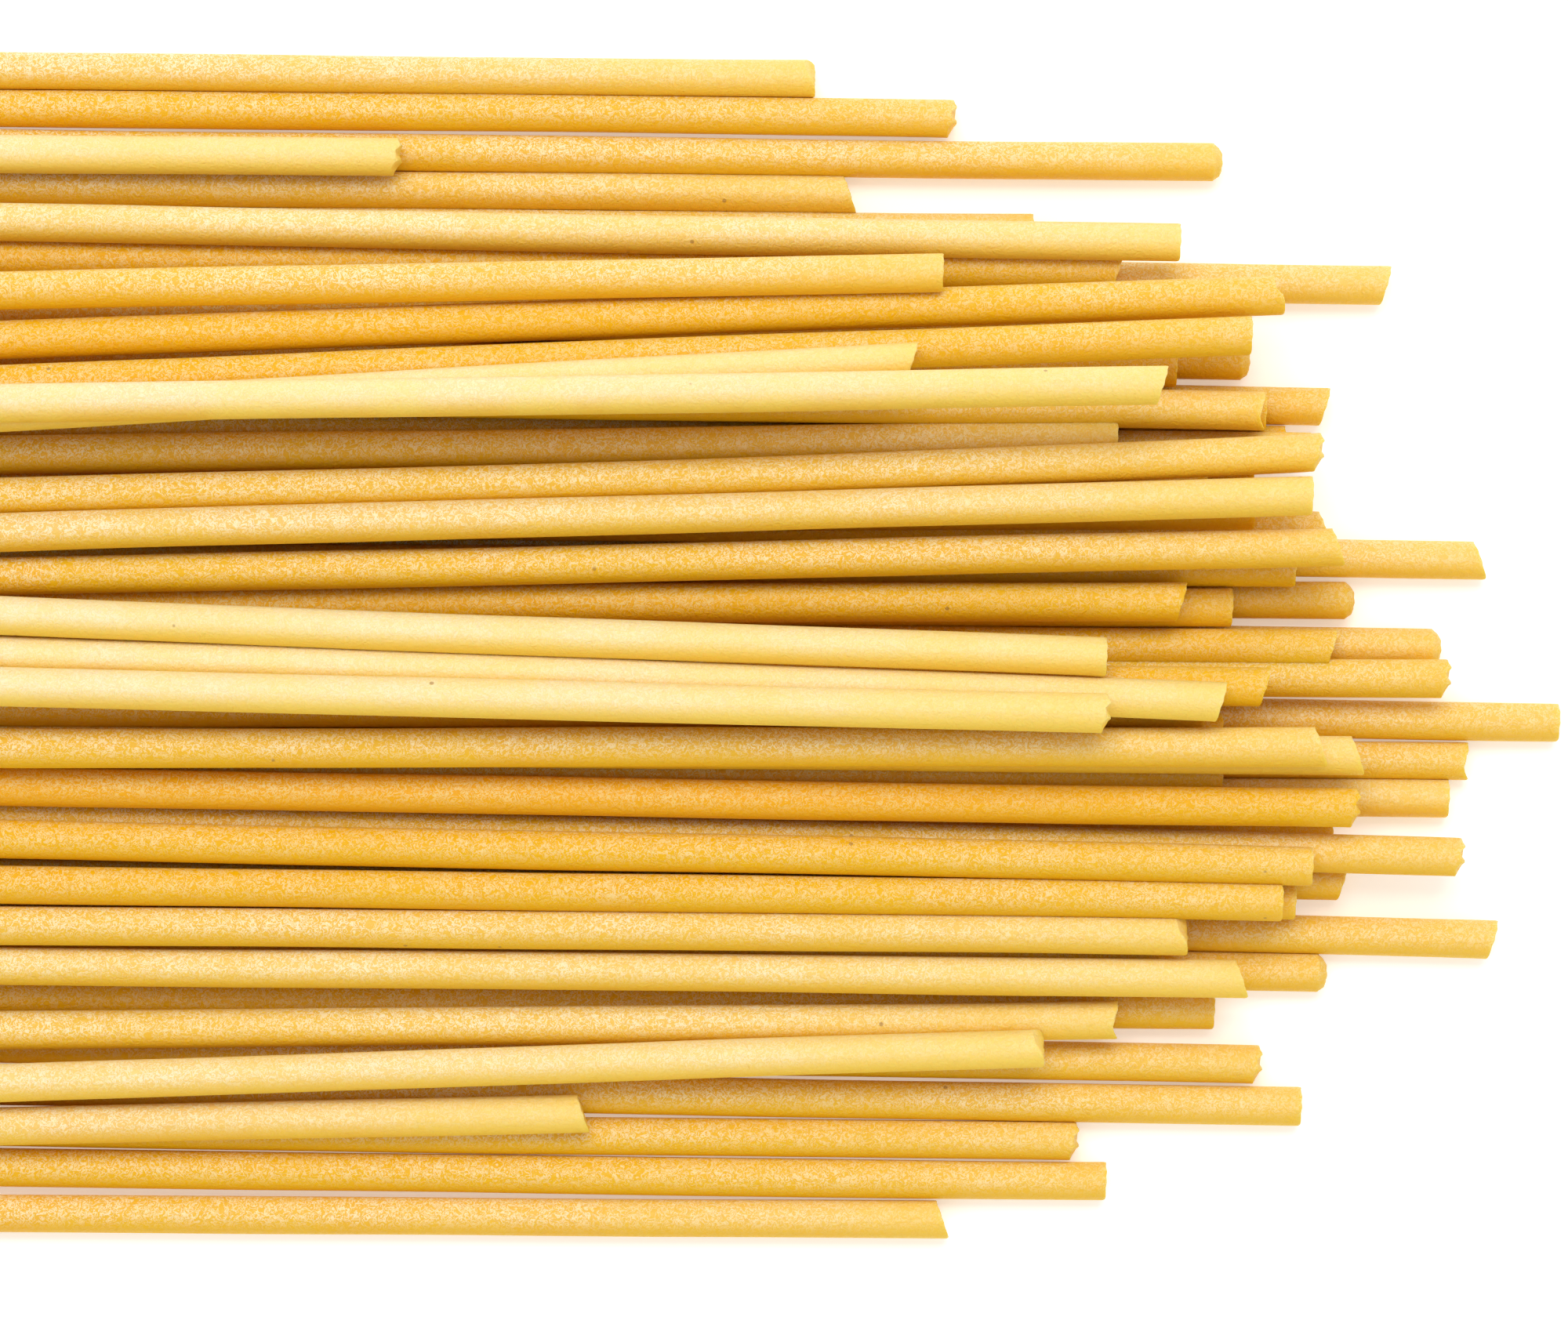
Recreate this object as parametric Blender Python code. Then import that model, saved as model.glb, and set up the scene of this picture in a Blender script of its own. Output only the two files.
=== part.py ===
"""A loose bundle of dry spaghetti: one solid out to the ragged, ridged outline of its strands.

The strands lie in layers. The bottom layer is on the table. Seen from the side, every other strand
is one straight line, resting at two places on what is under it. Seen from above, the strands are
straight in front and turn a little further back. Each is drawn as an eight-sided rod, a little
wider than the real one, so that neighbours merge. From the first place where something holds it up
to the last, a strand is solid to the table. Past them, a long enough end overhangs.
"""

import bmesh
import bpy
import numpy as np
from mathutils import Vector

MM = 0.001

DIAMETER = 1.95
LENGTH = 255.0
DRAWN_RADIUS = 1.06
STATION = 2.5

# The strands run straight this far behind the longest tip, then ease towards the lie of the
# bundle. The knees are where a drawn strand turns, from the back.
STRAIGHT_TO = 80.0
EASE_RUN = 35.0
KNEES = (125.0, 80.0)

# The two broken strands end level with the others at the back.
BROKEN_PAST = 45.0
BROKEN_END = 12.0

OVERHANG_SETBACK = 1.0
RAMP = 2.0
SLANT = 0.45

WEB_HEIGHT = 0.9
WEB_SETBACK = 3.0

# Each strand: how far its tip stops short of the longest, where the tip lies across the bundle,
# and how far it drifts towards +Y per 100 mm of length, all in mm. Bottom layer first, and from
# +Y to -Y in each layer.
TABLE_LAYER = (
    (37.8, 29.8, -1.1), (30.5, 27.8, -1.1), (17.1, 25.6, -1.1), (35.7, 23.9, -1.2),
    (26.7, 22.0, -0.9), (8.5, 19.3, -1.6), (17.1, 17.4, -1.7), (15.7, 15.5, -1.3),
    (11.6, 13.2, -1.8), (13.9, 11.2, -1.8), (15.5, 9.3, -1.8), (13.1, 7.3, -1.7),
    (3.7, 5.3, -1.6), (10.4, 3.3, -1.3), (6.0, 0.9, -1.8), (15.9, -1.0, -1.8),
    (0.0, -2.9, -1.4), (4.6, -4.9, -1.4), (5.6, -6.8, -1.2), (11.5, -8.9, -1.4),
    (10.7, -11.0, -1.5), (3.1, -13.9, -2.4), (11.8, -15.6, -1.5), (17.5, -17.5, -1.0),
    (15.0, -20.3, -1.7), (13.1, -22.4, -1.6), (24.3, -24.2, -1.3), (23.0, -26.2, -1.2),
    (31.0, -28.2, -0.8),
)
SECOND_LAYER = (
    (58.6, 25.7, -0.7), (22.2, 19.9, -1.2), (20.3, 17.0, -1.3), (19.5, 15.0, -1.0),
    (15.0, 12.8, -1.6), (12.7, 10.8, -2.0), (18.0, 8.9, -0.8), (11.7, 6.8, -1.3),
    (13.5, 4.9, -0.6), (16.7, 2.9, -0.3), (11.4, 0.9, -0.6), (5.6, -0.7, -0.7),
    (17.2, -3.4, -0.3), (17.2, -5.6, -0.7), (4.9, -9.7, -2.7), (13.5, -11.9, -1.8),
    (20.3, -14.5, -1.7),
)
THIRD_LAYER = (
    (19.4, 21.3, -1.7), (15.2, 12.8, -1.5), (22.6, 11.4, 1.5), (15.7, 7.8, 0.3),
    (19.1, 3.2, 0.3), (18.2, -2.2, -0.1), (10.2, -4.5, -0.7), (10.3, -7.2, -1.6),
    (12.8, -10.1, -2.1), (14.3, -11.9, -1.4), (19.1, -13.6, -0.9), (16.0, -15.8, -1.1),
    (22.5, -17.9, 1.0), (49.2, -22.6, 2.4),
)
FOURTH_LAYER = (
    (14.3, 18.6, 3.6), (16.0, 16.5, 3.9), (12.3, 10.7, 3.4), (11.3, 5.9, 2.1),
    (15.0, -1.1, -1.0), (12.2, -4.1, 0.0), (26.3, -19.3, 3.3),
)
FIFTH_LAYER = ((31.4, 19.6, 1.8), (32.7, 15.1, 5.4), (13.0, 8.5, 2.9), (17.3, -1.8, -3.8))
TOP_LAYER = ((20.4, 13.8, 1.4), (23.3, 0.4, -3.8), (23.1, -2.4, -2.5))
LAYERS = (TABLE_LAYER, SECOND_LAYER, THIRD_LAYER, FOURTH_LAYER, FIFTH_LAYER, TOP_LAYER)


def clear_scene():
    """Remove whatever the scene starts with."""
    for item in list(bpy.data.objects):
        bpy.data.objects.remove(item)


def across(strand, x):
    """Where a strand's centre line lies across the bundle at x."""
    from_tip = -strand["short"] - np.asarray(x, float)
    straight = STRAIGHT_TO - strand["short"]
    past = np.maximum(from_tip - straight, 0.0)
    eased = np.minimum(from_tip, straight) + EASE_RUN * (1.0 - np.exp(-past / EASE_RUN))
    return strand["across"] - strand["drift"] / 100.0 * eased


def height(strand, x):
    """The height of a strand's centre line at x."""
    return strand["level"] + strand["tilt"] * np.asarray(x, float)


def upper_hull(xs, heights):
    """The corners of a taut line laid over a row of obstacles."""
    corners = []
    for point in zip(xs, heights):
        while len(corners) > 1:
            (xa, za), (xb, zb) = corners[-2:]
            if (zb - za) * (point[0] - xa) > (point[1] - za) * (xb - xa):
                break
            corners.pop()
        corners.append(point)
    return corners


def lay(strand, under):
    """Rest a strand on the two obstacles either side of its middle, and note where they stop."""
    xs = np.arange(strand["back"], strand["front"], STATION)
    tops = np.full(len(xs), DIAMETER / 2.0)
    for other in under:
        apart = np.abs(across(strand, xs) - across(other, xs))
        held = (apart < DIAMETER) & (xs > other["back"]) & (xs < other["front"])
        reach = np.sqrt(np.maximum(DIAMETER**2 - apart**2, 0.0))
        tops = np.where(held, np.maximum(tops, height(other, xs) + reach), tops)
    middle = (strand["back"] + strand["front"]) / 2.0
    corners = upper_hull(xs, tops)
    for (xa, za), (xb, zb) in zip(corners, corners[1:]):
        if xa <= middle <= xb:
            strand["tilt"] = (zb - za) / (xb - xa)
            strand["level"] = za - strand["tilt"] * xa
    raised = xs[tops > DIAMETER / 2.0 + 0.1]
    strand["held_from"] = raised[0] + OVERHANG_SETBACK
    strand["held_to"] = raised[-1] - OVERHANG_SETBACK


def lay_bundle():
    """Every strand of every layer, laid from the bottom up."""
    laid = []
    for layer in LAYERS:
        fresh = []
        for short, tip_across, drift in layer:
            broken = max(short - BROKEN_PAST, 0.0)
            length = LENGTH - (short - BROKEN_END if broken else 0.0)
            strand = {"short": short, "across": tip_across, "drift": drift}
            strand.update(front=-short, back=-short - length, level=DIAMETER / 2.0, tilt=0.0)
            if laid:
                lay(strand, laid)
            fresh.append(strand)
        laid += fresh
    return laid


def section(strand, x, on_table, slant):
    """Eight points round a strand: the lower three stand on the table where it is held up."""
    centre_y = float(across(strand, x))
    centre_z = float(height(strand, x))
    points = []
    for corner in range(8):
        angle = np.pi / 4.0 * corner
        side = DRAWN_RADIUS * np.cos(angle)
        rise = DRAWN_RADIUS * np.sin(angle)
        y, z = centre_y + side, centre_z + rise
        if on_table and corner > 4:
            y = centre_y + DRAWN_RADIUS * (corner - 6)
            z = 0.0
        points.append((x + slant * side / DRAWN_RADIUS, y, z))
    return points


def strand_stations(strand):
    """Where a strand's sections stand, and which of them reach the table."""
    knees = [(-knee, True) for knee in KNEES]
    if "held_to" not in strand:
        return [(strand["back"], True), *knees, (strand["front"], True)]
    back_overhangs = strand["held_from"] > strand["back"] + 2.0 * RAMP
    front_overhangs = strand["held_to"] < strand["front"] - 2.0 * RAMP
    stations = [(strand["back"], not back_overhangs)]
    if back_overhangs:
        stations += [(strand["held_from"] - RAMP, False), (strand["held_from"], True)]
    stations += knees
    if front_overhangs:
        stations += [(strand["held_to"], True), (strand["held_to"] + RAMP, False)]
    stations.append((strand["front"], not front_overhangs))
    return stations


def loft(name, rings, collection):
    """A closed solid extruded from ring to ring of points, in mm. It is only ever an operand."""
    shape = bmesh.new()
    corner = shape.verts.layers.int.new("corner")
    for index, point in enumerate(rings[0]):
        vertex = shape.verts.new(MM * Vector(point))
        vertex[corner] = index
    start = end = shape.faces.new(shape.verts)
    for ring in rings[1:]:
        grown = bmesh.ops.extrude_face_region(shape, geom=[end])["geom"]
        if end is not start:
            shape.faces.remove(end)
        end = next(part for part in grown if isinstance(part, bmesh.types.BMFace))
        for vertex in end.verts:
            vertex.co = MM * Vector(ring[vertex[corner]])
    bmesh.ops.recalc_face_normals(shape, faces=shape.faces)
    mesh = bpy.data.meshes.new(name)
    shape.to_mesh(mesh)
    shape.free()
    item = bpy.data.objects.new(name, mesh)
    item.hide_render = True
    item.display_type = "WIRE"
    collection.objects.link(item)
    return item


def strand_solid(strand, index, collection):
    """One strand, its two cut ends slanting a little."""
    stations = strand_stations(strand)
    rings = []
    for place, (x, on_table) in enumerate(stations):
        at_end = place in (0, len(stations) - 1)
        slant = SLANT * np.sin(2.4 * index + 1.7 * place) if at_end else 0.0
        rings.append(section(strand, x, on_table, slant))
    return loft(f"strand_{index}", rings, collection)


def web_solid(left, right, index, collection):
    """The low filling between two neighbours of the bottom layer."""
    ends = (max(left["back"], right["back"]), min(left["front"], right["front"]))
    xs = (ends[0] + WEB_SETBACK, *(-knee for knee in KNEES), ends[1] - WEB_SETBACK)
    rings = []
    for x in xs:
        sides = (float(across(right, x)), float(across(left, x)))
        rings.append([
            (x, sides[1], 0.0),
            (x, sides[1], WEB_HEIGHT),
            (x, sides[0], WEB_HEIGHT),
            (x, sides[0], 0.0),
        ])
    return loft(f"web_{index}", rings, collection)


def join(target, pieces):
    """Join every piece of a collection to the target with one exact Boolean."""
    modifier = target.modifiers.new("join", "BOOLEAN")
    modifier.operation = "UNION"
    modifier.solver = "EXACT"
    modifier.operand_type = "COLLECTION"
    modifier.collection = pieces
    graph = bpy.context.evaluated_depsgraph_get()
    mesh = bpy.data.meshes.new_from_object(target.evaluated_get(graph))
    target.modifiers.remove(modifier)
    target.data = mesh


def centre_on_origin(item):
    """Put the middle of the bundle's box over the origin."""
    points = np.array([vertex.co for vertex in item.data.vertices])
    middle = (points.min(axis=0) + points.max(axis=0)) / 2.0
    for vertex in item.data.vertices:
        vertex.co.x -= middle[0]
        vertex.co.y -= middle[1]


def dry_pasta():
    """The pale gold of dry durum pasta."""
    material = bpy.data.materials.new("dry_pasta")
    material.use_nodes = True
    shader = material.node_tree.nodes["Principled BSDF"]
    shader.inputs["Base Color"].default_value = (0.74, 0.46, 0.11, 1.0)
    shader.inputs["Roughness"].default_value = 0.6
    return material


def main():
    """Build the bundle as one named solid."""
    clear_scene()
    pieces = bpy.data.collections.new("pieces")
    bpy.context.scene.collection.children.link(pieces)
    strands = lay_bundle()
    for index, strand in enumerate(strands):
        strand_solid(strand, index, pieces)
    table_row = strands[: len(TABLE_LAYER)]
    for index, (left, right) in enumerate(zip(table_row, table_row[1:])):
        web_solid(left, right, index, pieces)
    first = pieces.objects["strand_0"]
    bundle = first.copy()
    bundle.data = first.data.copy()
    bundle.name = "spaghetti_bundle"
    bpy.context.scene.collection.objects.link(bundle)
    pieces.objects.unlink(first)
    join(bundle, pieces)
    centre_on_origin(bundle)
    bundle.hide_render = False
    bundle.display_type = "TEXTURED"
    bundle.data.materials.clear()
    bundle.data.materials.append(dry_pasta())


main()
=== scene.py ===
"""A loose bundle of dry spaghetti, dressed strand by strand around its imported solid.

Every strand is a rod of its own. The strands lie in layers: the bottom one on the table, and each
of the others, seen from the side, straight across two places on what is under it. They are copied
from one modelled blank and broken at both ends. Seen from above they run straight in front and
turn a little further back, so that the bundle stays together.
"""

import logging
import math
from dataclasses import dataclass, field
from enum import Enum
from typing import NamedTuple

import bpy
import numpy as np
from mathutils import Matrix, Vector

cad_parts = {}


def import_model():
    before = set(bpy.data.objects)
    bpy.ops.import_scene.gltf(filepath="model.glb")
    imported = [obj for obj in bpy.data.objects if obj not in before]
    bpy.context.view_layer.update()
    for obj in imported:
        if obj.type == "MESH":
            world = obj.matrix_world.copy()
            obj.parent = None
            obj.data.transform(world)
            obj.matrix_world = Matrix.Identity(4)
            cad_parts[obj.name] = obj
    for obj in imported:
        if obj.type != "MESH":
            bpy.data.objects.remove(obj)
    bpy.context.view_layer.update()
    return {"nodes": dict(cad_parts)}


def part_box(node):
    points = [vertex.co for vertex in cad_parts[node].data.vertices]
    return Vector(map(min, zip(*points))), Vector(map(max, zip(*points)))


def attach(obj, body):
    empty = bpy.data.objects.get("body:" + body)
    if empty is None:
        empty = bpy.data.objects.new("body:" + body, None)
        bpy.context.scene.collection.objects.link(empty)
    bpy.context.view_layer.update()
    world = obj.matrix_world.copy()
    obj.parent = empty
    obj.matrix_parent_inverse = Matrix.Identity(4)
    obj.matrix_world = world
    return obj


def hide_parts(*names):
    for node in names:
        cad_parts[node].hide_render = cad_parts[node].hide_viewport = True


MM = 0.001
NODE = "spaghetti_bundle"
BAKE_MAP = "OFBake"
SMOOTH_ANGLE = math.radians(38.0)

log = logging.getLogger("spaghetti")


class Break(Enum):
    """How the end of a strand came off."""

    SQUARE = "square"
    LEAN_BACK = "lean_back"
    LEAN_AHEAD = "lean_ahead"
    HOLLOW = "hollow"
    STEPPED = "stepped"
    CHIPPED = "chipped"
    JAGGED = "jagged"
    ROUNDED = "rounded"

    def recess(self, side: np.ndarray, rise: np.ndarray) -> np.ndarray:
        """How far the broken face lies behind the tip.

        Args:
            side: Place across the strand, from -1 to 1, towards +Y.
            rise: Place up the strand, from -1 to 1.

        Returns:
            The recess at each place, in mm, never less than 0.
        """
        out = np.minimum(side**2 + rise**2, 1.0)
        grain = 0.035 * (1.0 + np.sin(7.0 * side + 5.0 * rise) * np.cos(6.0 * rise - 3.0 * side))
        shapes = {
            Break.SQUARE: 0.03 * (1.0 - side),
            Break.LEAN_BACK: 0.27 * (1.0 - side),
            Break.LEAN_AHEAD: 0.31 * (1.0 + side),
            Break.HOLLOW: 0.42 * (1.0 - out) + 0.22 * (1.0 - side) * (1.0 - side**2),
            Break.STEPPED: 0.5 / (1.0 + np.exp(-9.0 * (side - 0.1))),
            Break.CHIPPED: 0.75 * np.maximum(0.75 * side + 0.65 * rise - 0.3, 0.0),
            Break.JAGGED: 0.24 * np.abs(np.sin(3.6 * side + 0.9)) + 0.2 * (1.0 - side) * out,
            Break.ROUNDED: 0.42 * out**2,
        }
        return shapes[self] + grain


class Lie(NamedTuple):
    """Where a strand lies, and what sets it apart.

    Attributes:
        short: How far its tip stops short of the longest strand, in mm.
        across: Where the tip lies across the bundle, in mm.
        drift: How far it drifts towards +Y per 100 mm of its length, in mm.
        tip: How its tip is broken.
        paleness_and_painted_light: From 0, deep gold, to 1, pale and floury. It is set higher for the
            strands that lie higher, so besides the strand's own tone it is painted shade, deeper and
            redder, on the low strands and painted light, paler, on the high ones.
        bow: How far the middle of its front part stands to +Y of a straight line, in mm.
    """

    short: float
    across: float
    drift: float
    tip: Break = Break.SQUARE
    paleness_and_painted_light: float = 0.1
    bow: float = 0.0


# The fifth number in each row sets how pale the strand is. It is higher for the higher layers, so besides
# each strand's own tone it paints shade on the low strands and light on the high ones.
TABLE_LAYER = (
    Lie(37.8, 29.8, -1.1, Break.CHIPPED, 0.55),
    Lie(30.5, 27.8, -1.1, Break.JAGGED, 0.35),
    Lie(17.1, 25.6, -1.1, Break.ROUNDED, 0.45),
    Lie(35.7, 23.9, -1.2, Break.LEAN_AHEAD, 0.45),
    Lie(26.7, 22.0, -0.9, Break.SQUARE, 0.45),
    Lie(8.5, 19.3, -1.6, Break.LEAN_BACK, 0.45),
    Lie(17.1, 17.4, -1.7),
    Lie(15.7, 15.5, -1.3, Break.ROUNDED, 0.2),
    Lie(11.6, 13.2, -1.8, Break.LEAN_BACK, 0.35),
    Lie(13.9, 11.2, -1.8, Break.SQUARE, 0.2),
    Lie(15.5, 9.3, -1.8),
    Lie(13.1, 7.3, -1.7),
    Lie(3.7, 5.3, -1.6, Break.LEAN_AHEAD, 0.45),
    Lie(10.4, 3.3, -1.3, Break.ROUNDED, 0.3),
    Lie(6.0, 0.9, -1.8, Break.ROUNDED, 0.4),
    Lie(15.9, -1.0, -1.8),
    Lie(0.0, -2.9, -1.4, Break.SQUARE, 0.4),
    Lie(4.6, -4.9, -1.4, Break.HOLLOW, 0.35),
    Lie(5.6, -6.8, -1.2, Break.SQUARE, 0.45),
    Lie(11.5, -8.9, -1.4),
    Lie(10.7, -11.0, -1.5, Break.LEAN_BACK, 0.3),
    Lie(3.1, -13.9, -2.4, Break.LEAN_BACK, 0.4),
    Lie(11.8, -15.6, -1.5, Break.ROUNDED, 0.35),
    Lie(17.5, -17.5, -1.0, Break.SQUARE, 0.3),
    Lie(15.0, -20.3, -1.7, Break.JAGGED, 0.4),
    Lie(13.1, -22.4, -1.6, Break.SQUARE, 0.4),
    Lie(24.3, -24.2, -1.3, Break.JAGGED, 0.35),
    Lie(23.0, -26.2, -1.2, Break.SQUARE, 0.35),
    Lie(31.0, -28.2, -0.8, Break.LEAN_AHEAD, 0.45),
)
SECOND_LAYER = (
    Lie(58.6, 25.7, -0.7, Break.JAGGED, 0.8),
    Lie(22.2, 19.9, -1.2, Break.LEAN_BACK, 0.25),
    Lie(20.3, 17.0, -1.3),
    Lie(19.5, 15.0, -1.0),
    Lie(15.0, 12.8, -1.6, Break.SQUARE, 0.2),
    Lie(12.7, 10.8, -2.0, Break.SQUARE, 0.4),
    Lie(18.0, 8.9, -0.8),
    Lie(11.7, 6.8, -1.3, Break.LEAN_AHEAD, 0.3),
    Lie(13.5, 4.9, -0.6, Break.SQUARE, 0.2),
    Lie(16.7, 2.9, -0.3, Break.SQUARE, 0.25),
    Lie(11.4, 0.9, -0.6, Break.LEAN_BACK, 0.25),
    Lie(5.6, -0.7, -0.7, Break.JAGGED, 0.35),
    Lie(17.2, -3.4, -0.3),
    Lie(17.2, -5.6, -0.7),
    Lie(4.9, -9.7, -2.7, Break.JAGGED, 0.4),
    Lie(13.5, -11.9, -1.8, Break.SQUARE, 0.3),
    Lie(20.3, -14.5, -1.7),
)
THIRD_LAYER = (
    Lie(19.4, 21.3, -1.7, Break.SQUARE, 0.65),
    Lie(15.2, 12.8, -1.5, Break.HOLLOW, 0.4),
    Lie(22.6, 11.4, 1.5, Break.SQUARE, 0.4),
    Lie(15.7, 7.8, 0.3),
    Lie(19.1, 3.2, 0.3, Break.LEAN_BACK, 0.2),
    Lie(18.2, -2.2, -0.1, Break.SQUARE, 0.3),
    Lie(10.2, -4.5, -0.7, Break.LEAN_AHEAD, 0.55),
    Lie(10.3, -7.2, -1.6, Break.JAGGED, 0.15),
    Lie(12.8, -10.1, -2.1, Break.SQUARE, 0.3),
    Lie(14.3, -11.9, -1.4, Break.SQUARE, 0.3),
    Lie(19.1, -13.6, -0.9, Break.CHIPPED, 0.5),
    Lie(16.0, -15.8, -1.1, Break.LEAN_AHEAD, 0.6),
    Lie(22.5, -17.9, 1.0, Break.HOLLOW, 0.5),
    Lie(49.2, -22.6, 2.4, Break.LEAN_AHEAD, 0.6),
)
FOURTH_LAYER = (
    Lie(14.3, 18.6, 3.6, Break.STEPPED, 0.3),
    Lie(16.0, 16.5, 3.9, Break.SQUARE, 0.3),
    Lie(12.3, 10.7, 3.4, Break.JAGGED, 0.45, -0.26),
    Lie(11.3, 5.9, 2.1, Break.LEAN_AHEAD, 0.4),
    Lie(15.0, -1.1, -1.0, Break.LEAN_BACK, 0.2),
    Lie(12.2, -4.1, 0.0, Break.LEAN_AHEAD, 0.45),
    Lie(26.3, -19.3, 3.3, Break.CHIPPED, 0.7),
)
FIFTH_LAYER = (
    Lie(31.4, 19.6, 1.8, Break.SQUARE, 0.45),
    Lie(32.7, 15.1, 5.4, Break.LEAN_BACK, 0.85),
    Lie(13.0, 8.5, 2.9, Break.SQUARE, 0.6),
    Lie(17.3, -1.8, -3.8, Break.LEAN_BACK, 0.95),
)
TOP_LAYER = (
    Lie(20.4, 13.8, 1.4, Break.LEAN_BACK, 0.95),
    Lie(23.3, 0.4, -3.8, Break.SQUARE, 1.0),
    Lie(23.1, -2.4, -2.5, Break.JAGGED, 1.0),
)


@dataclass(frozen=True)
class Pasta:
    """The sizes that every strand shares, in mm."""

    diameter: float = 1.95
    length: float = 255.0
    sides: int = 20
    rings: int = 100
    end_steps: tuple[float, ...] = (0.0, 0.05, 0.14, 0.3, 0.55, 0.9, 1.4, 2.1, 3.2)
    fracture_reach: float = 1.7
    straight_to: float = 80.0
    ease_run: float = 35.0
    broken_past: float = 45.0
    broken_end: float = 12.0
    station: float = 2.5

    @property
    def radius(self) -> float:
        """Half the diameter."""
        return self.diameter / 2.0


@dataclass
class Strand:
    """One strand in its place: its line across the bundle, and its height."""

    lie: Lie
    pasta: Pasta
    level: float = 0.0
    tilt: float = 0.0

    @property
    def front(self) -> float:
        """Where its tip is along the bundle, the longest strand's tip being 0."""
        return -self.lie.short

    @property
    def length(self) -> float:
        """Its length: a broken strand ends level with the others at the back."""
        broken = self.lie.short > self.pasta.broken_past
        return self.pasta.length - (self.lie.short - self.pasta.broken_end if broken else 0.0)

    @property
    def back(self) -> float:
        """Where its far end is along the bundle."""
        return self.front - self.length

    def eased(self, from_tip: np.ndarray) -> np.ndarray:
        """The length over which the drift counts: all of it at first, then less and less."""
        straight = self.pasta.straight_to - self.lie.short
        past = np.maximum(from_tip - straight, 0.0)
        run = self.pasta.ease_run
        return np.minimum(from_tip, straight) + run * (1.0 - np.exp(-past / run))

    def across(self, x: np.ndarray) -> np.ndarray:
        """Where its centre line lies across the bundle at x."""
        counted = self.eased(self.front - np.asarray(x, float))
        half = (self.pasta.straight_to - self.lie.short) / 2.0
        bow = self.lie.bow * (1.0 - ((counted - half) / half) ** 2)
        return self.lie.across - self.lie.drift / 100.0 * counted + bow

    def height(self, x: np.ndarray) -> np.ndarray:
        """The height of its centre line at x."""
        return self.level + self.tilt * np.asarray(x, float)

    def rest_on(self, under: list["Strand"]) -> None:
        """Lay the strand straight across the two obstacles either side of its middle.

        Args:
            under: The strands of the layers below, already laid.
        """
        diameter = self.pasta.diameter
        xs = np.arange(self.back, self.front, self.pasta.station)
        tops = np.full(len(xs), diameter / 2.0)
        for other in under:
            apart = np.abs(self.across(xs) - other.across(xs))
            held = (apart < diameter) & (xs > other.back) & (xs < other.front)
            reach = np.sqrt(np.maximum(diameter**2 - apart**2, 0.0))
            tops = np.where(held, np.maximum(tops, other.height(xs) + reach), tops)
        middle = (self.back + self.front) / 2.0
        corners = taut_line(xs, tops)
        for (xa, za), (xb, zb) in zip(corners, corners[1:]):
            if xa <= middle <= xb:
                self.tilt = (zb - za) / (xb - xa)
                self.level = za - self.tilt * xa


def taut_line(xs: np.ndarray, tops: np.ndarray) -> list[tuple[float, float]]:
    """The corners of a taut line laid over a row of obstacles.

    Args:
        xs: Places along the bundle.
        tops: The height of the obstacle at each place.

    Returns:
        The corners, from the back to the front.
    """
    corners: list[tuple[float, float]] = []
    for x, top in zip(xs, tops):
        while len(corners) > 1:
            (xa, za), (xb, zb) = corners[-2:]
            if (zb - za) * (x - xa) > (top - za) * (xb - xa):
                break
            corners.pop()
        corners.append((float(x), float(top)))
    return corners


@dataclass
class Blank:
    """The one strand that is modelled, and from which every strand is copied."""

    pasta: Pasta
    rim_inset: float = 0.2
    heart_inset: float = 0.3

    def model(self) -> bpy.types.Object:
        """Model a straight rod from x = 0 back to x = -1, with ringed caps.

        Returns:
            The blank, one unit long and as thick as the pasta, in mm.
        """
        bpy.ops.object.select_all(action="DESELECT")
        bpy.ops.mesh.primitive_cylinder_add(
            vertices=self.pasta.sides,
            radius=self.pasta.radius,
            depth=1.0,
            end_fill_type="NGON",
            location=(-0.5, 0.0, 0.0),
            rotation=(0.0, math.pi / 2.0, 0.0),
        )
        blank = bpy.context.object
        blank.name = "blank"
        bpy.ops.object.transform_apply(location=True, rotation=True, scale=True)
        self._cut_rings(blank)
        self._ring_caps(blank)
        blank.data.uv_layers[0].name = BAKE_MAP
        return blank

    def _cut_rings(self, blank: bpy.types.Object) -> None:
        """Cut the rod's long edges into rings."""
        bpy.ops.object.mode_set(mode="EDIT")
        bpy.ops.mesh.select_mode(type="EDGE")
        bpy.ops.mesh.select_all(action="DESELECT")
        bpy.ops.object.mode_set(mode="OBJECT")
        points = blank.data.vertices
        for edge in blank.data.edges:
            first, second = (points[index].co.x for index in edge.vertices)
            edge.select = abs(first - second) > 0.5
        bpy.ops.object.mode_set(mode="EDIT")
        bpy.ops.mesh.subdivide(number_cuts=self.pasta.rings - 1)
        bpy.ops.object.mode_set(mode="OBJECT")

    def _ring_caps(self, blank: bpy.types.Object) -> None:
        """Inset both caps twice and poke their middles, so that a break has a face to shape."""
        bpy.ops.object.mode_set(mode="EDIT")
        bpy.ops.mesh.select_mode(type="FACE")
        bpy.ops.mesh.select_all(action="DESELECT")
        bpy.ops.object.mode_set(mode="OBJECT")
        for face in blank.data.polygons:
            face.select = abs(face.normal.x) > 0.9
        bpy.ops.object.mode_set(mode="EDIT")
        bpy.ops.mesh.inset(thickness=self.rim_inset)
        bpy.ops.mesh.inset(thickness=self.heart_inset)
        bpy.ops.mesh.poke()
        bpy.ops.object.mode_set(mode="OBJECT")


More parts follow.
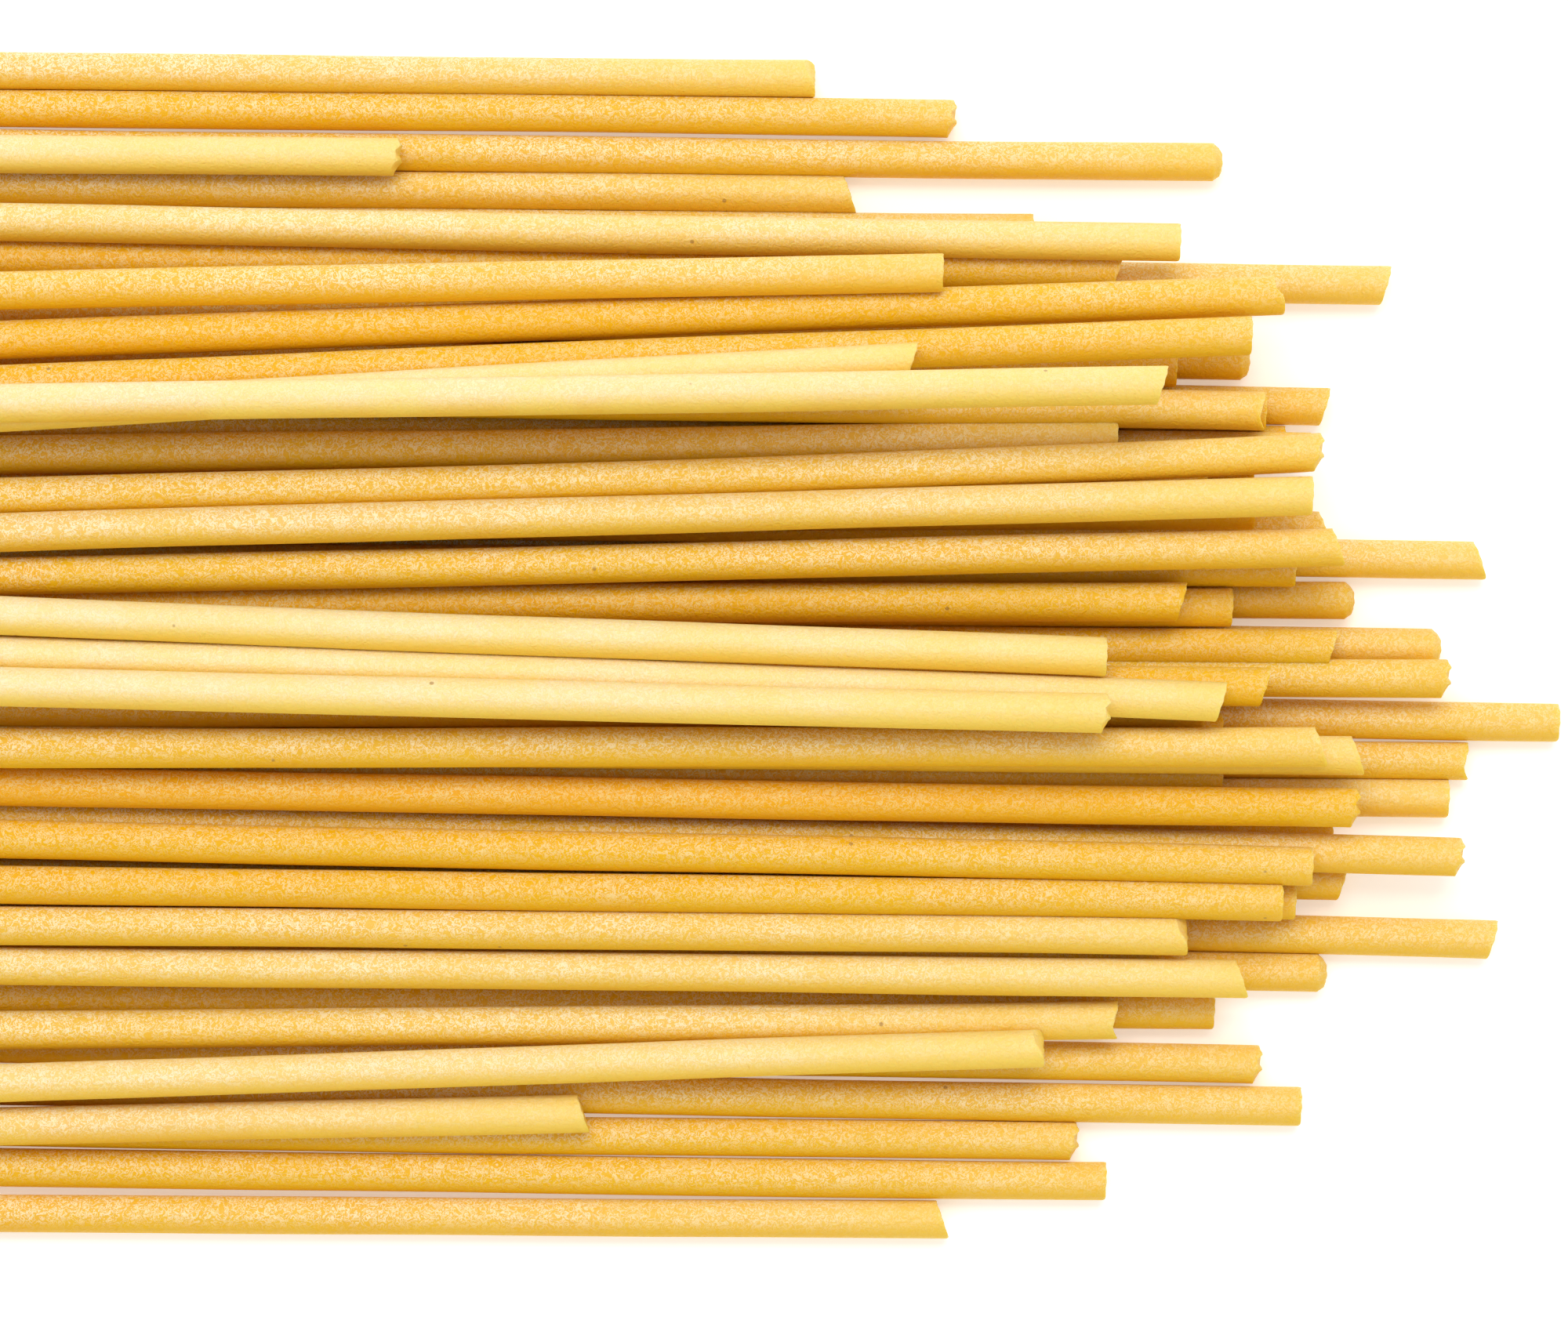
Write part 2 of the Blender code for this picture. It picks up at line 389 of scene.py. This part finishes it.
@dataclass
class StrandMaker:
    """Copies the blank into each strand's place, broken, bent and uneven."""

    pasta: Pasta
    blank: bpy.types.Object
    draws: np.random.Generator
    centre: np.ndarray
    wander: float = 0.05
    swell: float = 0.012
    thickness_spread: float = 0.015
    wave_peak: float = 1.5
    rim_taper: tuple[float, ...] = (0.955, 0.985, 1.0)
    # Painted glow of light through the strand near its tip: how far it reaches, how much paler it makes
    # the colour, and how much dust it wipes off.
    tip_glow_run: float = 16.0
    tip_glow_paleness: float = 0.26
    tip_glow_wipe: float = 0.55
    # Flour dust together with painted light on the side that faces up and towards +Y, where the key light
    # falls: the weights of side and up, and the ramp from facing to share.
    dust_light_side_weight: float = 0.6
    dust_light_up_weight: float = 0.8
    dust_light_from: tuple[float, ...] = (-0.1, 0.35, 0.8)
    dust_light_share: tuple[float, ...] = (0.0, 0.25, 1.0)
    skin_along: tuple[float, float] = (0.004, 0.992)
    skin_around: tuple[float, float] = (0.02, 0.86)
    caps_along: tuple[float, float] = (0.01, 0.02)
    caps_around: tuple[float, float] = (0.91, 0.12)

    def stations(self, length: float) -> np.ndarray:
        """How far from the tip each ring of the blank goes, close together at both ends."""
        ends = np.array(self.pasta.end_steps)
        inner = np.linspace(ends[-1], length - ends[-1], self.pasta.rings + 3 - 2 * len(ends))
        return np.concatenate([ends[:-1], inner, (length - ends[:-1])[::-1]])

    def waves(self, at: np.ndarray, longest: float, size: float) -> np.ndarray:
        """A slow uneven wave along a strand.

        Args:
            at: Distances from the tip, in mm.
            longest: The longest wave, in mm.
            size: The wave's height, in mm.

        Returns:
            The wave at each distance.
        """
        total = np.zeros_like(at)
        for share in (1.0, 0.47, 0.21):
            phase = self.draws.uniform(0.0, math.tau)
            total += share * np.sin(math.tau * at / (longest * share) + phase)
        return size * total / self.wave_peak

    def make(self, strand: Strand, lane: int, lanes: int) -> bpy.types.Object:
        """Copy the blank and lay it as one strand.

        Args:
            strand: The strand, already resting in its place.
            lane: Which lane of the layer's surface map it takes.
            lanes: How many lanes that map has.

        Returns:
            The strand, in metres, in the bundle's frame.
        """
        mesh = self.blank.data.copy()
        points = np.empty(len(mesh.vertices) * 3)
        mesh.vertices.foreach_get("co", points)
        points = points.reshape(-1, 3)
        ring = np.rint(-points[:, 0] * self.pasta.rings).astype(int)
        from_tip = self.stations(strand.length)[ring]
        side, rise = points[:, 1] / self.pasta.radius, points[:, 2] / self.pasta.radius

        back_break = self.draws.choice(list(Break))
        from_back = strand.length - from_tip
        reach = self.pasta.fracture_reach
        ahead = strand.lie.tip.recess(side, rise) * np.maximum(1.0 - from_tip / reach, 0.0) ** 2
        behind = back_break.recess(side, rise) * np.maximum(1.0 - from_back / reach, 0.0) ** 2

        thick = 1.0 + self.draws.uniform(-1.0, 1.0) * self.thickness_spread
        thick = thick + self.waves(from_tip, 34.0, self.swell)
        rim = np.minimum(from_tip, from_back)
        thick = thick * np.interp(rim, self.pasta.end_steps[: len(self.rim_taper)], self.rim_taper)
        x = strand.front - from_tip
        laid = np.stack([
            x - ahead + behind,
            strand.across(x) + points[:, 1] * thick + self.waves(from_tip, 90.0, self.wander),
            strand.height(x) + points[:, 2] * thick,
        ], axis=1)
        laid[:, 2] -= min(laid[:, 2].min(), 0.0)
        mesh.vertices.foreach_set("co", ((laid - self.centre) * MM).ravel())
        self._lay_map(mesh, lane, lanes)
        # Painted glow near the tip, where light passes through the strand over the white table.
        tip_glow = np.exp(-from_tip / self.tip_glow_run)
        # Facing towards the key light, which decides where flour dust and painted light go.
        facing = self.dust_light_side_weight * side + self.dust_light_up_weight * rise
        self._tell(mesh, strand.lie.paleness_and_painted_light, facing, tip_glow)
        item = bpy.data.objects.new("strand", mesh)
        bpy.context.scene.collection.objects.link(item)
        return item

    def _lay_map(self, mesh: bpy.types.Mesh, lane: int, lanes: int) -> None:
        """Put the strand's surface map in its own lane: the skin along it, and the caps beside."""
        data = mesh.uv_layers[BAKE_MAP].uv
        places = np.empty(len(data) * 2)
        data.foreach_get("vector", places)
        around, along = places.reshape(-1, 2).T
        skin = along > 0.5
        skin_u = self.skin_along[0] + self.skin_along[1] * (along - 0.5) * 2.0
        skin_v = self.skin_around[0] + self.skin_around[1] * around
        caps_u = self.caps_along[0] + self.caps_along[1] * around
        caps_v = self.caps_around[0] + self.caps_around[1] * along
        u = np.where(skin, skin_u, caps_u)
        v = np.where(skin, skin_v, caps_v)
        data.foreach_set("vector", np.stack([u, (lane + v) / lanes], axis=1).ravel())

    def _tell(self, mesh: bpy.types.Mesh, paleness_and_painted_light: float, facing: np.ndarray, tip_glow: np.ndarray) -> None:
        """Note on the surface how pale the strand is, which paints shade on low strands and light on high
        ones; its own tone; where flour settled, together with painted light on the side the key light
        falls on; and the painted glow of light through the tip.

        Args:
            mesh: The strand's mesh.
            paleness_and_painted_light: How pale the strand is: its own tone, with painted shade on low
                strands and painted light on high ones.
            facing: How much each point faces up and towards +Y, the side the key light falls on, from -1
                to 1.
            tip_glow: The painted glow of light through the strand near its tip, 1 at the tip and 0 far
                from it; there the colour is paler, glassy and less dusted.
        """
        tone = self.draws.uniform(0.0, 1.0)
        # Share of flour dust and painted light on the side that faces the key light.
        dust_and_lit_side = np.interp(facing, self.dust_light_from, self.dust_light_share)
        notes = {
            # How pale the strand is, raised near the tip by the painted glow of light through it.
            "paleness_and_painted_light": np.minimum(paleness_and_painted_light + self.tip_glow_paleness * tip_glow, 1.0),
            "tone": tone * (1.0 - tip_glow),
            "dust_and_painted_light": dust_and_lit_side * (1.0 - self.tip_glow_wipe * tip_glow),
        }
        for name, values in notes.items():
            attribute = mesh.attributes.new(name, "FLOAT", "POINT")
            attribute.data.foreach_set("value", values.astype(np.float32))


class Graph:
    """A material's node tree, built a node at a time."""

    def __init__(self, name: str) -> None:
        """Start a material with only its Principled shader."""
        self.material = bpy.data.materials.new(name)
        self.material.use_nodes = True
        self.tree = self.material.node_tree
        self.shader = self.tree.nodes["Principled BSDF"]

    def node(self, kind: str, **settings: object) -> bpy.types.Node:
        """Add a node of a kind, with its settings."""
        made = self.tree.nodes.new(kind)
        for name, value in settings.items():
            setattr(made, name, value)
        return made

    def link(self, source: bpy.types.NodeSocket, target: bpy.types.NodeSocket) -> None:
        """Join two sockets."""
        self.tree.links.new(source, target)

    def noise(self, place: bpy.types.NodeSocket, size: float, **values: float) -> bpy.types.NodeSocket:
        """A noise whose features are about a size in mm.

        Args:
            place: The coordinates to read.
            size: The size of its features, in mm.
            **values: Detail, Roughness and Distortion, by name.

        Returns:
            The noise's value.
        """
        made = self.node("ShaderNodeTexNoise")
        made.inputs["Scale"].default_value = 1.0 / (size * MM)
        for name, value in values.items():
            made.inputs[name].default_value = value
        self.link(place, made.inputs["Vector"])
        return made.outputs["Fac"]

    def ramp(
        self, value: bpy.types.NodeSocket, low: float, high: float, to: tuple[float, float] = (0.0, 1.0)
    ) -> bpy.types.NodeSocket:
        """Stretch a value from low and high to two others, held at both ends."""
        made = self.node("ShaderNodeMapRange", interpolation_type="SMOOTHSTEP")
        self.link(value, made.inputs["Value"])
        made.inputs["From Min"].default_value = low
        made.inputs["From Max"].default_value = high
        made.inputs["To Min"].default_value = to[0]
        made.inputs["To Max"].default_value = to[1]
        return made.outputs["Result"]

    def math(self, operation: str, first: bpy.types.NodeSocket, second: object) -> bpy.types.NodeSocket:
        """Work out one value from two, the second a socket or a number."""
        made = self.node("ShaderNodeMath", operation=operation)
        self.link(first, made.inputs[0])
        if isinstance(second, bpy.types.NodeSocket):
            self.link(second, made.inputs[1])
        else:
            made.inputs[1].default_value = second
        return made.outputs["Value"]

    def mix(self, share: bpy.types.NodeSocket, first: object, second: object) -> bpy.types.NodeSocket:
        """Mix two colours, each a socket or a colour."""
        made = self.node("ShaderNodeMix", data_type="RGBA")
        self.link(share, made.inputs["Factor"])
        for colour, socket in ((first, made.inputs[6]), (second, made.inputs[7])):
            if isinstance(colour, bpy.types.NodeSocket):
                self.link(colour, socket)
            else:
                socket.default_value = (*colour, 1.0)
        return made.outputs[2]

    def attribute(self, name: str) -> bpy.types.NodeSocket:
        """Read a value noted on the surface."""
        made = self.node("ShaderNodeAttribute", attribute_name=name)
        return made.outputs["Fac"]


@dataclass(frozen=True)
class DriedPasta:
    """Dried durum pasta from a bronze die: gold and a little glassy under a rough, floury skin."""

    # Painted shade: the deep orange-brown given to the low strands lying in the crevices.
    ember_painted_shade: tuple[float, float, float] = (0.87, 0.41, 0.002)
    gold: tuple[float, float, float] = (0.85, 0.485, 0.001)
    # The high strands' pale colour: partly their own tone, partly painted light.
    pale: tuple[float, float, float] = (0.94, 0.65, 0.08)
    warm: tuple[float, float, float] = (0.85, 0.42, 0.001)
    flour: tuple[float, float, float] = (0.96, 0.82, 0.53)
    # Painted shade: the tan that flour takes on the low strands lying in shade.
    flour_in_painted_shade: tuple[float, float, float] = (0.88, 0.64, 0.24)
    speck: tuple[float, float, float] = (0.33, 0.16, 0.05)
    curl_size: float = 0.3
    curl_distortion: float = 1.3
    patch_size: float = 6.0
    speck_size: float = 1.6
    relief: float = 0.09
    relief_strength: float = 0.8
    shine: float = 0.3
    refraction: float = 1.5
    glow: float = 0.4
    glow_reach: tuple[float, float, float] = (0.9, 0.6, 0.2)

    def make(self) -> bpy.types.Material:
        """Build the finish.

        Returns:
            The material that every strand wears.
        """
        graph = Graph("dried_pasta")
        place = graph.node("ShaderNodeTexCoord").outputs["Object"]
        paleness_and_painted_light = graph.attribute("paleness_and_painted_light")
        tone = graph.attribute("tone")
        curling = {"Detail": 2.5, "Roughness": 0.62, "Distortion": self.curl_distortion}
        curls = graph.noise(place, self.curl_size, **curling)
        patches = graph.noise(place, self.patch_size, Detail=2.0)
        # Painted shade: the low strands, least pale, turn deep ember orange-brown.
        body = graph.mix(graph.ramp(paleness_and_painted_light, 0.1, 0.4), self.ember_painted_shade, self.gold)
        # The high strands, the palest, turn pale: partly their own tone, partly painted light.
        body = graph.mix(graph.ramp(paleness_and_painted_light, 0.4, 1.0), body, self.pale)
        warm_patches = graph.ramp(patches, 0.4, 0.62)
        warmth = graph.math("MULTIPLY", warm_patches, graph.ramp(tone, 0.0, 1.0, (0.0, 0.45)))
        body = graph.mix(warmth, body, self.warm)
        ridges = graph.math("ABSOLUTE", graph.math("SUBTRACT", curls, 0.5), 0.0)
        floury = graph.ramp(ridges, 0.07, 0.015)
        # A pale haze on the high strands: partly flour, partly painted light.
        haze_and_painted_light = graph.ramp(paleness_and_painted_light, 0.3, 1.0, (0.0, 0.68))
        curl_share = graph.math("MULTIPLY", floury, graph.ramp(paleness_and_painted_light, 0.4, 1.0, (1.0, 0.36)))
        # Flour dust together with painted light on the side that faces the key light.
        dust_and_painted_light = graph.math("MULTIPLY", graph.math("ADD", haze_and_painted_light, curl_share), graph.attribute("dust_and_painted_light"))
        strength = graph.math("MULTIPLY", dust_and_painted_light, graph.ramp(patches, 0.35, 0.6, (0.75, 1.0)))
        # Painted shade: on the low strands the flour turns tan.
        flour = graph.mix(graph.ramp(paleness_and_painted_light, 0.2, 0.6), self.flour_in_painted_shade, self.flour)
        skin = graph.mix(strength, body, flour)
        skin = graph.mix(self._specks(graph, place), skin, self.speck)
        graph.link(skin, graph.shader.inputs["Base Color"])
        graph.link(graph.ramp(curls, 0.35, 0.7, (0.38, 0.6)), graph.shader.inputs["Roughness"])
        self._relief(graph, place, curls)
        self._set_constants(graph)
        return graph.material

    def _specks(self, graph: Graph, place: bpy.types.NodeSocket) -> bpy.types.NodeSocket:
        """The few tiny brown specks of bran."""
        cells = graph.node("ShaderNodeTexVoronoi")
        cells.inputs["Scale"].default_value = 1.0 / (self.speck_size * MM)
        graph.link(place, cells.inputs["Vector"])
        near = graph.ramp(cells.outputs["Distance"], 0.09, 0.05)
        chosen = graph.node("ShaderNodeSeparateColor")
        graph.link(cells.outputs["Color"], chosen.inputs["Color"])
        rare = graph.ramp(chosen.outputs["Red"], 0.90, 0.93, (0.0, 0.6))
        return graph.math("MULTIPLY", near, rare)

    def _relief(self, graph: Graph, place: bpy.types.NodeSocket, curls: bpy.types.NodeSocket) -> None:
        """The rough skin that a bronze die tears."""
        fine = graph.noise(place, self.curl_size / 2.2, Detail=2.0)
        total = graph.math("MULTIPLY_ADD", fine, 0.5)
        graph.link(curls, total.node.inputs[2])
        bump = graph.node("ShaderNodeBump")
        bump.inputs["Strength"].default_value = self.relief_strength
        bump.inputs["Distance"].default_value = self.relief * MM
        graph.link(total, bump.inputs["Height"])
        graph.link(bump.outputs["Normal"], graph.shader.inputs["Normal"])

    def _set_constants(self, graph: Graph) -> None:
        """Set what is the same all over."""
        sockets = graph.shader.inputs
        sockets["Subsurface Weight"].default_value = self.glow
        sockets["Subsurface Radius"].default_value = self.glow_reach
        sockets["Subsurface Scale"].default_value = 1.0 * MM
        sockets["Specular IOR Level"].default_value = self.shine
        sockets["IOR"].default_value = self.refraction


@dataclass
class Layer:
    """One layer of strands, joined as one piece."""

    name: str
    strands: list[Strand] = field(default_factory=list)

    def build(self, maker: StrandMaker, finish: bpy.types.Material) -> bpy.types.Object:
        """Make every strand of the layer and join them.

        Args:
            maker: What lays each strand.
            finish: The material they wear.

        Returns:
            The finished piece.
        """
        made = [maker.make(strand, lane, len(self.strands)) for lane, strand in enumerate(self.strands)]
        bpy.ops.object.select_all(action="DESELECT")
        for item in made:
            item.select_set(True)
        bpy.context.view_layer.objects.active = made[0]
        if len(made) > 1:
            bpy.ops.object.join()
        piece = bpy.context.view_layer.objects.active
        piece.name = self.name
        piece.data.name = self.name
        piece.data.materials.clear()
        piece.data.materials.append(finish)
        bpy.ops.object.shade_smooth_by_angle(angle=SMOOTH_ANGLE)
        return piece


@dataclass
class Bundle:
    """The whole heap of strands, in layers."""

    pasta: Pasta = field(default_factory=Pasta)
    seed: int = 17
    layers: dict[str, tuple[Lie, ...]] = field(default_factory=lambda: {
        "strands_on_table": TABLE_LAYER,
        "strands_second_layer": SECOND_LAYER,
        "strands_third_layer": THIRD_LAYER,
        "strands_fourth_layer": FOURTH_LAYER,
        "strands_fifth_layer": FIFTH_LAYER,
        "strands_on_top": TOP_LAYER,
    })

    def lay(self) -> list[Layer]:
        """Lay every strand from the bottom layer up."""
        laid: list[Strand] = []
        done: list[Layer] = []
        for name, lies in self.layers.items():
            fresh = [Strand(lie, self.pasta, level=self.pasta.radius) for lie in lies]
            for strand in fresh:
                if laid:
                    strand.rest_on(laid)
            laid += fresh
            done.append(Layer(name, fresh))
        return done

    def centre(self, layers: list[Layer]) -> np.ndarray:
        """The middle of the laid strands' box at the height of the table, matched to the solid's."""
        strands = [strand for layer in layers for strand in layer.strands]
        backs = np.array([strand.back for strand in strands])
        sides = np.array([strand.across(np.array([strand.back, strand.front])) for strand in strands])
        middle = np.array([backs.min() / 2.0, (sides.min() + sides.max()) / 2.0, 0.0])
        low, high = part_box(NODE)
        return middle - np.array([(low.x + high.x) / 2.0, (low.y + high.y) / 2.0, 0.0]) / MM

    def build(self) -> tuple[list[bpy.types.Object], np.ndarray]:
        """Build every layer.

        Returns:
            The pieces, and the bundle's middle in the strands' own measure.
        """
        layers = self.lay()
        centre = self.centre(layers)
        blank = Blank(self.pasta).model()
        maker = StrandMaker(self.pasta, blank, np.random.default_rng(self.seed), centre)
        finish = DriedPasta().make()
        pieces = [layer.build(maker, finish) for layer in layers]
        bpy.data.objects.remove(blank)
        return pieces, centre


@dataclass
class Studio:
    """The pale table, the soft light and the camera over the ragged ends."""

    centre: np.ndarray
    view_from_tip: float = 39.4
    camera_height: float = 350.0
    frame_width: float = 79.7
    sensor: float = 36.0
    key_angle: float = 27.0
    key_distance: float = 0.9
    key_size: float = 0.4
    key_stretch: float = 1.6
    table_size: float = 6.0
    table_shade: tuple[float, float, float, float] = (0.93, 0.93, 0.93, 1.0)
    key_power: float = 3.9
    fill: float = 0.74
    key_colour: tuple[float, float, float] = (1.0, 0.985, 0.96)
    table_roughness: float = 0.9
    table_shine: float = 0.1
    table_glow: float = 0.3

    @property
    def aim(self) -> Vector:
        """The point on the table under the camera."""
        return Vector((-self.view_from_tip - self.centre[0], -self.centre[1], 0.0)) * MM

    def table(self) -> bpy.types.Object:
        """A wide white table top, faintly lit from within."""
        bpy.ops.object.select_all(action="DESELECT")
        bpy.ops.mesh.primitive_plane_add(size=self.table_size)
        table = bpy.context.object
        table.name = "table"
        graph = Graph("pale_table")
        graph.shader.inputs["Base Color"].default_value = self.table_shade
        graph.shader.inputs["Roughness"].default_value = self.table_roughness
        graph.shader.inputs["Specular IOR Level"].default_value = self.table_shine
        graph.shader.inputs["Emission Color"].default_value = (1.0, 1.0, 1.0, 1.0)
        graph.shader.inputs["Emission Strength"].default_value = self.table_glow
        table.data.materials.append(graph.material)
        return table

    def light(self) -> None:
        """One large soft light over the table beyond the bundle's +Y side, and white all round."""
        lamp = bpy.data.lights.new("key", "AREA")
        lamp.shape = "RECTANGLE"
        lamp.size = self.key_size * self.key_stretch
        lamp.size_y = self.key_size
        lamp.energy = self.key_power
        lamp.color = self.key_colour
        key = bpy.data.objects.new("key", lamp)
        bpy.context.scene.collection.objects.link(key)
        tilt = math.radians(self.key_angle)
        away = Vector((0.0, math.sin(tilt), math.cos(tilt))) * self.key_distance
        key.location = self.aim + away
        key.rotation_euler = (-tilt, 0.0, 0.0)
        world = bpy.data.worlds.new("studio")
        world.use_nodes = True
        sky = world.node_tree.nodes["Background"]
        sky.inputs["Color"].default_value = (1.0, 1.0, 1.0, 1.0)
        sky.inputs["Strength"].default_value = self.fill
        bpy.context.scene.world = world

    def camera(self) -> None:
        """A long lens straight over the ragged ends."""
        lens = bpy.data.cameras.new("camera")
        lens.sensor_width = self.sensor
        distance = self.camera_height - Pasta().radius
        lens.lens = self.sensor * distance / self.frame_width
        lens.clip_start = 0.01
        camera = bpy.data.objects.new("camera", lens)
        bpy.context.scene.collection.objects.link(camera)
        camera.location = self.aim + Vector((0.0, 0.0, self.camera_height * MM))
        bpy.context.scene.camera = camera

    def build(self) -> None:
        """Set up the table, the light and the camera."""
        self.table()
        self.light()
        self.camera()
        view = bpy.context.scene.view_settings
        view.view_transform = "Standard"
        view.look = "None"


def main() -> None:
    """Build the bundle and its studio, and log the packed nodes and each piece's face count."""
    logging.basicConfig(level=logging.INFO)
    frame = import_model()
    log.info("packed nodes: %s", sorted(frame["nodes"]))
    pieces, centre = Bundle().build()
    for piece in pieces:
        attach(piece, "root")
        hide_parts(NODE)
        log.info("%s: %d faces", piece.name, len(piece.data.polygons))
    Studio(centre).build()


if __name__ == "__main__":
    main()
